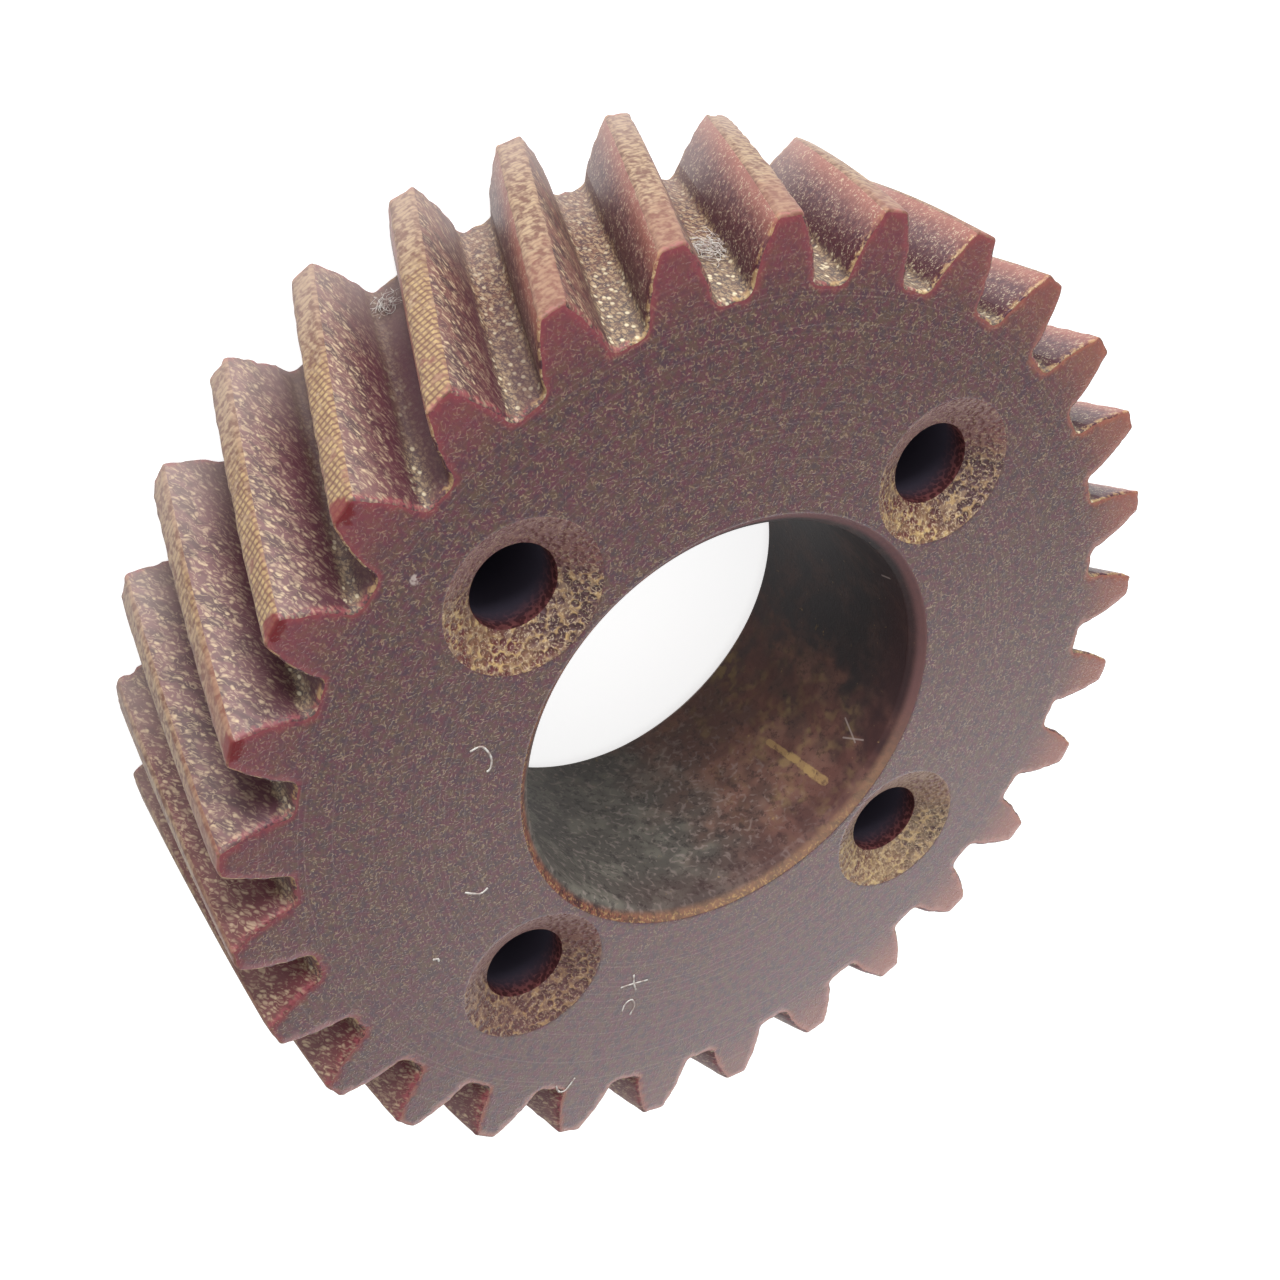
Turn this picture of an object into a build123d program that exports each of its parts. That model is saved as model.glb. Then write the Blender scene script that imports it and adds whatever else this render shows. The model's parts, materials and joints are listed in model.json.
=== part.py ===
from build123d import *
import os
from math import acos, atan, cos, degrees, radians, sin, tan

# Helical gear wheel of fabric laminate, turned, hobbed and drilled from one piece.
# The axis is Z. The back face lies at Z = 0 and the countersunk face looks up +Z.
# The first screw hole lies on +X. All sizes are in millimetres and degrees.

# Teeth
tooth_count = 29
normal_module = 2.0
pressure_angle = 20.0
helix_angle = 20.6
addendum = 2.0
dedendum = 2.1
root_chamfer = 0.4
tooth_phase = 8.3  # from the first screw hole to the next tooth, on the countersunk face

# Ring
face_width = 18.0
bore_diameter = 28.0
bore_chamfer = 0.9

# Countersunk screws, on a circle that is set out from the wall of the bore
screw_count = 4
screw_diameter = 5.0
screw_clearance = 0.3
screw_head_diameter = 9.8
screw_head_angle = 118.0
bore_to_screw_circle = 6.2

# Gear geometry, in the plane of the end faces
tooth_pitch_angle = 360 / tooth_count
pitch_radius = normal_module * tooth_count / (2 * cos(radians(helix_angle)))
tip_radius = pitch_radius + addendum
root_radius = pitch_radius - dedendum
transverse_pressure_angle = atan(tan(radians(pressure_angle)) / cos(radians(helix_angle)))
base_radius = pitch_radius * cos(transverse_pressure_angle)
helix_turn = degrees(face_width * tan(radians(helix_angle)) / pitch_radius)

# Ring geometry
bore_radius = bore_diameter / 2
screw_circle_radius = bore_radius + bore_to_screw_circle
screw_hole_radius = (screw_diameter + screw_clearance) / 2
screw_head_radius = screw_head_diameter / 2

# The space between two teeth is drawn a little past the tips, with each flank as a chain of short arcs
flank_arcs = 4
space_overshoot = 0.2
arc_height = (addendum + dedendum + space_overshoot) / flank_arcs
flank_radii = [root_radius + arc_height * index for index in range(flank_arcs + 1)]


def involute(angle):
    """Involute function of an angle in radians."""
    return tan(angle) - angle


def half_space_angle(radius):
    """Half of the angle, in degrees, that the space between two teeth spans at a radius."""
    roll = acos(min(1, base_radius / radius))
    opening = involute(roll) - involute(transverse_pressure_angle)
    return tooth_pitch_angle / 4 + degrees(opening)


def flank_point(radius, side):
    """Point of the flank above (side 1) or below (side -1) the X axis."""
    angle = radians(side * half_space_angle(radius))
    return (radius * cos(angle), radius * sin(angle))


# Space between two teeth: two involute flanks, and an arc of the root circle with blunted corners
with BuildSketch() as tooth_space:
    with BuildLine():
        for side in (1, -1):
            for lower, upper in zip(flank_radii, flank_radii[1:]):
                middle = (lower + upper) / 2
                ThreePointArc(flank_point(lower, side), flank_point(middle, side), flank_point(upper, side))
        for radius in (flank_radii[0], flank_radii[-1]):
            ThreePointArc(flank_point(radius, 1), (radius, 0), flank_point(radius, -1))
    make_face()
    root_corners = tooth_space.vertices().sort_by_distance((0, 0))[:2]
    chamfer(root_corners, root_chamfer)

# Section of the toothed ring, at the back face
back_phase = tooth_phase - helix_turn + tooth_pitch_angle / 2
with BuildSketch() as gear_section:
    Circle(tip_radius)
    with PolarLocations(0, tooth_count, start_angle=back_phase):
        add(tooth_space.sketch, mode=Mode.SUBTRACT)

# The section climbs the face width while it turns with the right-hand helix
toothed_disc = Solid.extrude_linear_with_rotation(
    gear_section.sketch.face(), (0, 0, 0), (0, 0, face_width), helix_turn
)

with BuildPart() as worm_wheel:
    add(toothed_disc)
    with Locations((0, 0, face_width)):
        Hole(bore_radius)
    bore_edges = worm_wheel.edges().filter_by(GeomType.CIRCLE)
    bore_edges = bore_edges.filter_by(lambda edge: abs(edge.radius - bore_radius) < 1e-3)
    chamfer(bore_edges, bore_chamfer)
    with Locations((0, 0, face_width)):
        with PolarLocations(screw_circle_radius, screw_count):
            CounterSinkHole(screw_hole_radius, screw_head_radius, counter_sink_angle=screw_head_angle)

worm_wheel.part.label = "worm_wheel"

os.makedirs("parts", exist_ok=True)
export_step(worm_wheel.part, "parts/worm_wheel.step")
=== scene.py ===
import json
import math

import bpy
import numpy as np
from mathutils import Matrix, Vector, noise
from mathutils.geometry import delaunay_2d_cdt


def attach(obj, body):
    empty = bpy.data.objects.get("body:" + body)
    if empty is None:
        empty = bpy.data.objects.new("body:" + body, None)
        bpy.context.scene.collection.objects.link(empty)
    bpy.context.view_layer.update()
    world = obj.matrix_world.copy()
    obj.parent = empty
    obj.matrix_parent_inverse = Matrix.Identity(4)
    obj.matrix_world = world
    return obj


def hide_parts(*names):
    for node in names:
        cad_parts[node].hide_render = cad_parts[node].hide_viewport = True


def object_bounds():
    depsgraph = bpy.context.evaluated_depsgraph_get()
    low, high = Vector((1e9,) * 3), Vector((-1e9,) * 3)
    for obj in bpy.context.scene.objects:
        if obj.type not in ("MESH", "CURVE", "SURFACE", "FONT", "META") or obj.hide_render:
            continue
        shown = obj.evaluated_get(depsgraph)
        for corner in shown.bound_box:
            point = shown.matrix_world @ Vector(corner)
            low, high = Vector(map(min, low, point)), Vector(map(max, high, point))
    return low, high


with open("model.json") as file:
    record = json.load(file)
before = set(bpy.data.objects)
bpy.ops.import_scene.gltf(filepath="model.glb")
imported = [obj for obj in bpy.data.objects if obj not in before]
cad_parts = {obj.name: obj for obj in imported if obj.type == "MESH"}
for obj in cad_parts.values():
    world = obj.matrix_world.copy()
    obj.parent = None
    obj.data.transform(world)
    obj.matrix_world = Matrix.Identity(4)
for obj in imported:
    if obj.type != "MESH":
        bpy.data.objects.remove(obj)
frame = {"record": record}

# A helical gear wheel of woven fabric laminate: one closed mesh with rounded, slightly worn
# edges, and some lint on its front face and between its teeth. Lengths are millimetres until
# they go into a mesh, a light or the camera. The frame is the part's own: z runs from the back
# face to the countersunk front face, and x goes through the first screw hole.
MM = 0.001
cad_low, cad_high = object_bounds()

# Sizes of the wheel. Those of the bore and the screw holes are in the part's record.
mounts = {mount["name"]: mount for mount in frame["record"]["mounts"]}
BORE_RADIUS = mounts["bore"]["dims"]["r_mm"]
SCREW_HOLE_RADIUS = mounts["screw_holes"]["dims"]["hole_r_mm"]
SCREW_CIRCLE_RADIUS = mounts["screw_holes"]["dims"]["pcd_mm"] / 2
SCREW_COUNT = mounts["screw_holes"]["dims"]["count"]
FACE_WIDTH = cad_high[2] / MM
BORE_CHAMFER = (FACE_WIDTH - mounts["bore"]["dims"]["length_mm"]) / 2
COUNTERSINK_RADIUS = 4.9
COUNTERSINK_ANGLE = 118.0
TOOTH_COUNT = 29
NORMAL_MODULE = 2.0
PRESSURE_ANGLE = 20.0
HELIX_ANGLE = 20.6
ADDENDUM = 2.0
DEDENDUM = 2.1
ROOT_FILLET = 0.55
TOOTH_PHASE = 8.3

# Rounding and wear of the edges
TIP_ROUNDING = 0.38
END_ROUNDING = 0.14
RIM_ROUNDING = 0.12
FACE_WEAR = 0.04
TIP_WEAR = 0.02

# Chips of the edges: depth, how many to the millimetre, and how common. The last is added to a
# noise from -1 to 1, which chips where it is above 0. Those at the back reach up to a height.
EDGE_CHIPS, EDGE_CHIPS_PER_MM, EDGE_CHIPS_SHARE = 0.10, 1.9, 0.35
BACK_CHIPS, BACK_CHIPS_PER_MM, BACK_CHIPS_SHARE = 0.6, 0.9, -0.2
BACK_CHIPS_HEIGHT = 4 * END_ROUNDING
BACK_CHIPS_SHIFT = (7, 0, 0)

# How densely the mesh follows the form
LAND_POINTS, TIP_POINTS, FLANK_POINTS, FILLET_POINTS, ROOT_POINTS = 2, 5, 13, 6, 3
WIDTH_STEPS = 30
ROUND_STEPS = 3
BORE_SEGMENTS, SCREW_SEGMENTS = 240, 96
RIM_SPACING, WEB_SPACING, WEB_INSET = 0.55, 1.6, 1.2
FLANK_SAMPLES = 600

# Two radii or heights that differ by less are taken as one: in the turned profiles, on the teeth
# and where points join. The middle of a triangle may lie a little inside a rim.
NEAR, TINY, WELD = 0.02, 1e-6, 1e-9
RIM_SLACK = 0.02 * RIM_SPACING

# Fabric laminate: plies of plain-woven cotton, pressed flat across the axis
PLY, YARN = 0.40, 0.36

# How far the looks of the land and of the root reach from the tip and from the root circle
LAND_REACH, ROOT_REACH = 0.3 * TIP_ROUNDING, 1.1

# What shows of the cut yarns on each surface: how large it is, and how deep its relief
FACE_CURL, FACE_RELIEF = 0.26, 0.008
FLANK_STROKE, FLANK_HAIR, WORN_SPECK = 0.23, 0.15, 0.20
ROOT_GRAIN, ROOT_FLECK = 0.20, 0.36
TOOTH_RELIEF = 0.03
CONE_PIT, CONE_CURL, CONE_RELIEF = 0.40, 0.20, 0.09
HOLE_PIT = 0.30
BORE_NICK, RIM_CURL, BORE_RELIEF = 0.60, 0.26, 0.03
LINT_RELIEF = 0.005

# On the rough flanks the yarn ends lie at a slant, given by its cosine and sine, and are drawn out
SLANT = (0.8, 0.6)
FLOW_SQUEEZE, FLOW_SHAKE, FLOW_SHAKES_PER_MM = 0.32, 0.35, 1.6

# Marks: scratches in the bore with their half widths, broken resin, a pale spot, and lint.
# Tufts have a place, a reach and a number of fibres. Fibres have a half width and a half height.
SCRATCHES = (
    ((13.98, -0.95, 9.2), (13.98, -0.55, 12.2), 0.34),
    ((13.98, -0.60, 11.4), (13.98, -0.40, 14.0), 0.42),
    ((13.98, -0.45, 13.4), (14.0, -0.25, 15.2), 0.48),
)
FINE_SCRATCHES = (
    ((13.6, 3.2, 15.4), (13.4, 4.0, 13.6), 0.09),
    ((13.7, 2.9, 14.3), (13.5, 3.7, 15.9), 0.08),
    ((4.9, 13.1, 15.2), (4.5, 13.25, 16.2), 0.10),
)
RESIN_PATCHES = ((-31.9, -8.0, 17.9), (-29.4, -14.6, 17.9), (-32.8, -1.2, 17.7))
RESIN_REACH = 0.85
PALE_SPOT, PALE_SPOT_REACH = (-26.79, -2.17, 18.0), 0.4
LINT_ON_FACE = (
    ((-16.39, -9.0), (-15.91, -8.43), (-14.89, -8.71), (-14.36, -9.28), (-14.41, -9.6)),
    ((-9.65, -16.83), (-8.6, -16.52), (-8.39, -15.98)),
    ((7.54, -18.76), (8.08, -18.32), (9.24, -17.51)),
    ((7.73, -17.56), (8.3, -18.1), (8.92, -18.49)),
    ((9.26, -20.33), (9.0, -19.7), (9.28, -19.26), (9.9, -19.6), (10.15, -20.33)),
    ((8.83, -27.05), (9.5, -27.4), (9.96, -27.11), (9.88, -26.05)),
    ((-8.2, -21.56), (-7.9, -21.4), (-7.68, -21.54)),
)
TUFTS = (((-19.9, 20.9, 12.0), 1.9, 80), ((-28.0, 7.1, 2.2), 1.2, 36))
TUFT_SEED = 7
TUFT_POINTS, TUFT_SPREAD, TUFT_STEP, TUFT_CURL = 5, 0.3, 0.28, 2.4
TUFT_LIFT, TUFT_WAVE = (0.08, 0.45), 0.08
FACE_FIBRE, TUFT_FIBRE = (0.075, 0.018), (0.016, 0.012)
LINT_STEPS = 4

# Camera at the photo's viewing angle: place in millimetres, turn in degrees
CAMERA_PLACE = (-80.852, 11.559, 87.155)
CAMERA_TURN = (-35.837, -30.801, 46.396)
CAMERA_LENS = 48.511
CAMERA_SHIFT = (-0.00769, 0.00765)
CAMERA_NEAR = 5

# Light: the sky, a window in it that gloss mirrors, and one large lamp
SKY = 0.75
WINDOW = (0.933, -0.3, 0.2)
WINDOW_EDGE = (0.82, 0.93)
WINDOW_GLARE = 3.5
KEY_DIRECTION = (-1.0, 0.85, 0.35)
KEY_DISTANCE, KEY_SIZE, KEY_WATTS = 300, 160, 1.2

# Floor: how far it reaches and lies below the wheel, how it shines and glows, and its paint
FLOOR_REACH, FLOOR_DROP = 4000, 0.02
FLOOR_GLARE = 1.0
FLOOR_GLOW = 0.76
FLOOR_WHITE = 0.7

tooth_pitch = 2 * math.pi / TOOTH_COUNT
pitch_radius = NORMAL_MODULE * TOOTH_COUNT / (2 * math.cos(math.radians(HELIX_ANGLE)))
tip_radius = pitch_radius + ADDENDUM - TIP_WEAR
root_radius = pitch_radius - DEDENDUM
face_pressure_angle = math.atan(
    math.tan(math.radians(PRESSURE_ANGLE)) / math.cos(math.radians(HELIX_ANGLE))
)
base_radius = pitch_radius * math.cos(face_pressure_angle)
turn_per_mm = math.tan(math.radians(HELIX_ANGLE)) / pitch_radius
root_pitch = 2 * math.pi * root_radius / TOOTH_COUNT
flow_per_tooth = 2 * root_pitch / 3
screw_angles = [2 * math.pi * index / SCREW_COUNT for index in range(SCREW_COUNT)]


# Form of the wheel

def involute(angle):
    return np.tan(angle) - angle


def polar(radius, angle):
    return np.stack([radius * np.cos(angle), radius * np.sin(angle)], axis=-1)


def arc(centre, start, end, steps):
    """Points of the shorter arc about a centre from one point to another, both included."""
    first = math.atan2(start[1] - centre[1], start[0] - centre[0])
    last = math.atan2(end[1] - centre[1], end[0] - centre[0])
    last = first + (last - first + math.pi) % (2 * math.pi) - math.pi
    radius = math.hypot(start[0] - centre[0], start[1] - centre[1])
    return np.array(centre) + polar(radius, np.linspace(first, last, steps + 1))


def half_tooth_outline():
    """From the middle of a tooth's land, over its corner and flank, to the middle of the root."""
    radii = np.linspace(root_radius, tip_radius, FLANK_SAMPLES)
    roll = np.arccos(np.minimum(1, base_radius / radii))
    half_angle = math.pi / (2 * TOOTH_COUNT) + involute(face_pressure_angle) - involute(roll)
    flank = polar(radii, half_angle)
    tangent = np.gradient(flank, axis=0)
    tangent /= np.linalg.norm(tangent, axis=1)[:, None]
    outward = np.stack([-tangent[:, 1], tangent[:, 0]], axis=1)
    steps = np.arange(len(radii))

    def along(track, step):
        return np.array([np.interp(step, steps, track[:, axis]) for axis in (0, 1)])

    fillet_track = flank + ROOT_FILLET * outward
    fillet_step = np.interp(root_radius + ROOT_FILLET, np.linalg.norm(fillet_track, axis=1), steps)
    fillet_centre = along(fillet_track, fillet_step)
    fillet_start = along(flank, fillet_step)
    fillet_end = fillet_centre * root_radius / np.linalg.norm(fillet_centre)

    tip_track = flank - TIP_ROUNDING * outward
    tip_step = np.interp(tip_radius - TIP_ROUNDING, np.linalg.norm(tip_track, axis=1), steps)
    tip_centre = along(tip_track, tip_step)
    tip_start = tip_centre * tip_radius / np.linalg.norm(tip_centre)
    tip_end = along(flank, tip_step)

    flank_steps = np.linspace(tip_step, fillet_step, FLANK_POINTS + 1)[1:-1]
    return np.concatenate([
        arc((0, 0), (tip_radius, 0), tip_start, LAND_POINTS)[:-1],
        arc(tip_centre, tip_start, tip_end, TIP_POINTS),
        np.array([along(flank, step) for step in flank_steps]),
        arc(fillet_centre, fillet_start, fillet_end, FILLET_POINTS),
        arc((0, 0), fillet_end, polar(root_radius, tooth_pitch / 2), ROOT_POINTS)[1:],
    ])


def gear_outline():
    """Closed outline of all the teeth, anticlockwise, with its outward directions."""
    half = half_tooth_outline()
    radius = np.linalg.norm(half, axis=1)
    angle = np.arctan2(half[:, 1], half[:, 0])
    radius = np.concatenate([radius, radius[-2:0:-1]])
    angle = np.concatenate([angle, tooth_pitch - angle[-2:0:-1]])
    turns = np.arange(TOOTH_COUNT)[:, None] * tooth_pitch
    points = polar(np.tile(radius, TOOTH_COUNT), (angle[None] + turns).ravel())
    tangent = np.roll(points, -1, axis=0) - np.roll(points, 1, axis=0)
    tangent /= np.linalg.norm(tangent, axis=1)[:, None]
    return points, np.stack([tangent[:, 1], -tangent[:, 0]], axis=1)


def turned(points, angle):
    cosine, sine = math.cos(angle), math.sin(angle)
    return points @ np.array([[cosine, sine], [-sine, cosine]])


class Shell:
    """Points and faces of the wheel, gathered part by part. Each face has a material number."""

    def __init__(self):
        self.rows, self.edge_rows, self.count = [], [], 0
        self.faces, self.face_materials = [], []

    def add(self, flat, height, edge=0.0):
        start = self.count
        self.rows.append(np.column_stack([flat, np.full(len(flat), height)]))
        self.edge_rows.append(np.broadcast_to(edge, len(flat)))
        self.count += len(flat)
        return np.arange(start, self.count)

    def bridge(self, lower, upper, materials):
        following = np.roll(np.arange(len(lower)), -1)
        quads = np.stack([lower, lower[following], upper[following], upper], axis=1)
        self.faces.extend(quads.tolist())
        self.face_materials.extend(np.broadcast_to(materials, len(quads)).tolist())

    def points(self):
        return np.concatenate(self.rows)

    def edges(self):
        return np.concatenate(self.edge_rows).astype(np.float32)


FACE, LAND, WORN_FLANK, ROUGH_FLANK, ROOT, BORE, CONE, HOLE = range(8)


def zones_of(outline):
    """Which look each face of the toothed wall has: land, either flank or root."""
    middle = (outline + np.roll(outline, -1, axis=0)) / 2
    radius = np.linalg.norm(middle, axis=1)
    teeth = np.arctan2(middle[:, 1], middle[:, 0]) / tooth_pitch
    zones = np.where(teeth > np.round(teeth), WORN_FLANK, ROUGH_FLANK)
    zones[radius > tip_radius - LAND_REACH] = LAND
    zones[radius < root_radius + ROOT_REACH] = ROOT
    return zones


def chips(points, height, edge):
    """How far the surface is worn in: a little along the edges, with some notches at the back."""
    worn = np.zeros(len(points))
    at_back = max(0.0, 1.0 - height / BACK_CHIPS_HEIGHT)
    shift = Vector(BACK_CHIPS_SHIFT)
    for index, (x, y) in enumerate(points):
        place = Vector((x, y, height))
        nibble = noise.noise(place * EDGE_CHIPS_PER_MM) + EDGE_CHIPS_SHARE
        notch = noise.noise(place * BACK_CHIPS_PER_MM + shift) + BACK_CHIPS_SHARE
        worn[index] = edge[index] * EDGE_CHIPS * max(0.0, nibble)
        worn[index] += at_back * BACK_CHIPS * max(0.0, notch)
    return worn


def add_teeth(shell):
    """The toothed wall with its rounded ends. Returns its lowest and its highest ring."""
    outline, outward = gear_outline()
    radius = np.linalg.norm(outline, axis=1)
    corner = (radius > tip_radius - TIP_ROUNDING) & (radius < tip_radius - TINY)
    steps = np.linspace(0, math.pi / 2, ROUND_STEPS + 1)
    depths = FACE_WEAR + END_ROUNDING * (1 - np.cos(steps))
    insets = END_ROUNDING * (1 - np.sin(steps))
    first = depths[-1]
    middle = np.linspace(first, FACE_WIDTH - first, WIDTH_STEPS + 1)[1:-1]
    levels = list(zip(depths, insets)) + [(height, 0.0) for height in middle]
    levels += [(FACE_WIDTH - depth, inset) for depth, inset in zip(depths[::-1], insets[::-1])]
    zones = zones_of(outline)
    rings = []
    for height, inset in levels:
        turn = math.radians(TOOTH_PHASE) - (FACE_WIDTH - height) * turn_per_mm
        at_end = min(height, FACE_WIDTH - height) <= first + TINY
        edge = np.where(corner | at_end, 1.0, 0.0)
        wear = inset + chips(turned(outline, turn), height, edge)
        rings.append(shell.add(turned(outline - wear[:, None] * outward, turn), height, edge))
    for lower, upper in zip(rings, rings[1:]):
        shell.bridge(lower, upper, zones)
    return rings[0], rings[-1]


def rounded(corners, size):
    """Profile of (radius, height) points, with short curves in place of its inner corners."""
    profile = [np.array(corners[0], float)]
    for before, corner, after in zip(corners, corners[1:], corners[2:]):
        before, corner, after = (np.array(point, float) for point in (before, corner, after))
        start = corner + size * (before - corner) / np.linalg.norm(before - corner)
        end = corner + size * (after - corner) / np.linalg.norm(after - corner)
        for t in np.linspace(0, 1, ROUND_STEPS + 1):
            profile.append((1 - t) ** 2 * start + 2 * t * (1 - t) * corner + t * t * end)
    profile.append(np.array(corners[-1], float))
    return profile


def add_hollow(shell, centre, profile, segments, material_at):
    """A turned hollow about an upright line. Returns its lowest and its highest ring."""
    angles = np.linspace(0, 2 * math.pi, segments, endpoint=False)
    rings = [shell.add(centre + polar(radius, angles), height) for radius, height in profile]
    for index, (lower, upper) in enumerate(zip(rings, rings[1:])):
        middle = (profile[index] + profile[index + 1]) / 2
        shell.bridge(upper, lower, material_at(*middle))
    return rings[0], rings[-1]


def add_bore(shell):
    low, high = FACE_WEAR, FACE_WIDTH - FACE_WEAR
    rim = BORE_RADIUS + BORE_CHAMFER - FACE_WEAR
    corners = [
        (rim + 2 * RIM_ROUNDING, low),
        (rim, low),
        (BORE_RADIUS, BORE_CHAMFER),
        (BORE_RADIUS, FACE_WIDTH - BORE_CHAMFER),
        (rim, high),
        (rim + 2 * RIM_ROUNDING, high),
    ]
    return add_hollow(
        shell, np.zeros(2), rounded(corners, RIM_ROUNDING), BORE_SEGMENTS,
        lambda radius, height: FACE if radius > rim + NEAR else BORE,
    )


def add_screw_hole(shell, centre):
    low, high = FACE_WEAR, FACE_WIDTH - FACE_WEAR
    slope = math.tan(math.radians(COUNTERSINK_ANGLE / 2))
    cone_bottom = FACE_WIDTH - (COUNTERSINK_RADIUS - SCREW_HOLE_RADIUS) / slope
    rim = COUNTERSINK_RADIUS - FACE_WEAR * slope
    corners = [
        (SCREW_HOLE_RADIUS + 2 * RIM_ROUNDING, low),
        (SCREW_HOLE_RADIUS, low),
        (SCREW_HOLE_RADIUS, cone_bottom),
        (rim, high),
        (rim + 2 * RIM_ROUNDING, high),
    ]

    def material_at(radius, height):
        if radius > rim + NEAR or height < low + NEAR:
            return FACE
        return CONE if height > cone_bottom else HOLE

    return add_hollow(shell, centre, rounded(corners, RIM_ROUNDING), SCREW_SEGMENTS, material_at)


def inside(points, ring):
    """Which flat points lie inside a ring whose radius is a function of its polar angle."""
    angle = np.unwrap(np.arctan2(ring[:, 1], ring[:, 0]))
    radius = np.linalg.norm(ring, axis=1)
    angle, radius = np.append(angle, angle[0] + 2 * math.pi), np.append(radius, radius[0])
    asked = angle[0] + (np.arctan2(points[:, 1], points[:, 0]) - angle[0]) % (2 * math.pi)
    return np.linalg.norm(points, axis=1) < np.interp(asked, angle, radius)


def outside_rims(points, rims, margin):
    keep = np.ones(len(points), bool)
    for rim in rims:
        centre = rim.mean(axis=0)
        keep &= np.linalg.norm(points - centre, axis=1) > np.linalg.norm(rim[0] - centre) + margin
    return keep


def filling_points(outline, rims):
    """A triangular grid inside an end face, finer on the teeth than on the web."""
    border = root_radius - WEB_INSET
    rows = []
    for spacing, near, far in ((RIM_SPACING, border, tip_radius), (WEB_SPACING, 0, border)):
        row_gap = spacing * math.sqrt(3) / 2
        for row in range(int(2 * tip_radius / row_gap) + 1):
            x = np.arange(-tip_radius + row % 2 * spacing / 2, tip_radius, spacing)
            points = np.column_stack([x, np.full(len(x), -tip_radius + row * row_gap)])
            radius = np.linalg.norm(points, axis=1)
            rows.append(points[(radius >= near) & (radius < far)])
    grid = np.concatenate(rows)
    margin = RIM_SPACING / 2
    grid = grid[inside(grid, outline) & outside_rims(grid, rims, margin)]
    gap = np.array([np.linalg.norm(outline - point, axis=1).min() for point in grid])
    return grid[gap > margin]


def add_end_face(shell, outer, inner_rings, up):
    """The flat end between the toothed ring and the rims of the hollows."""
    known = shell.points()
    height = known[outer[0], 2]
    loops = [outer, *inner_rings]
    outline = known[outer, :2]
    rims = [known[ring, :2] for ring in inner_rings]
    grid = filling_points(outline, rims)
    owners = np.concatenate([*loops, shell.add(grid, height)])
    flat = np.concatenate([outline, *rims, grid])
    edges, start = [], 0
    for loop in loops:
        edges.extend((start + i, start + (i + 1) % len(loop)) for i in range(len(loop)))
        start += len(loop)
    found = delaunay_2d_cdt([Vector(point) for point in flat], edges, [], 0, WELD, True)
    place = np.array([tuple(point) for point in found[0]])
    triangles = np.array([tuple(triangle) for triangle in found[2]])
    owner = [owners[origin[0]] for origin in found[3]]
    middle = place[triangles].mean(axis=1)
    keep = inside(middle, outline) & outside_rims(middle, rims, -RIM_SLACK)
    for a, b, c in triangles[keep]:
        first, second = place[b] - place[a], place[c] - place[a]
        upward = first[0] * second[1] > first[1] * second[0]
        face = [owner[a], owner[b], owner[c]]
        shell.faces.append(face if upward == up else face[::-1])
        shell.face_materials.append(FACE)


def build_shell():
    shell = Shell()
    bottom, top = add_teeth(shell)
    hollows = [add_bore(shell)]
    hollows += [add_screw_hole(shell, polar(SCREW_CIRCLE_RADIUS, angle)) for angle in screw_angles]
    add_end_face(shell, bottom, [low for low, high in hollows], up=False)
    add_end_face(shell, top, [high for low, high in hollows], up=True)
    return shell


def make_wheel(materials):
    shell = build_shell()
    mesh = bpy.data.meshes.new("dressed_worm_wheel")
    mesh.from_pydata((shell.points() * MM).tolist(), [], shell.faces)
    mesh.polygons.foreach_set("material_index", shell.face_materials)
    edge = mesh.attributes.new("edge", "FLOAT", "POINT")
    edge.data.foreach_set("value", shell.edges())
    for material in materials:
        mesh.materials.append(material)
    mesh.update()
    mesh.shade_smooth()
    wheel = bpy.data.objects.new("dressed_worm_wheel", mesh)
    bpy.context.scene.collection.objects.link(wheel)
    return wheel


# Node trees and colours

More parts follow.
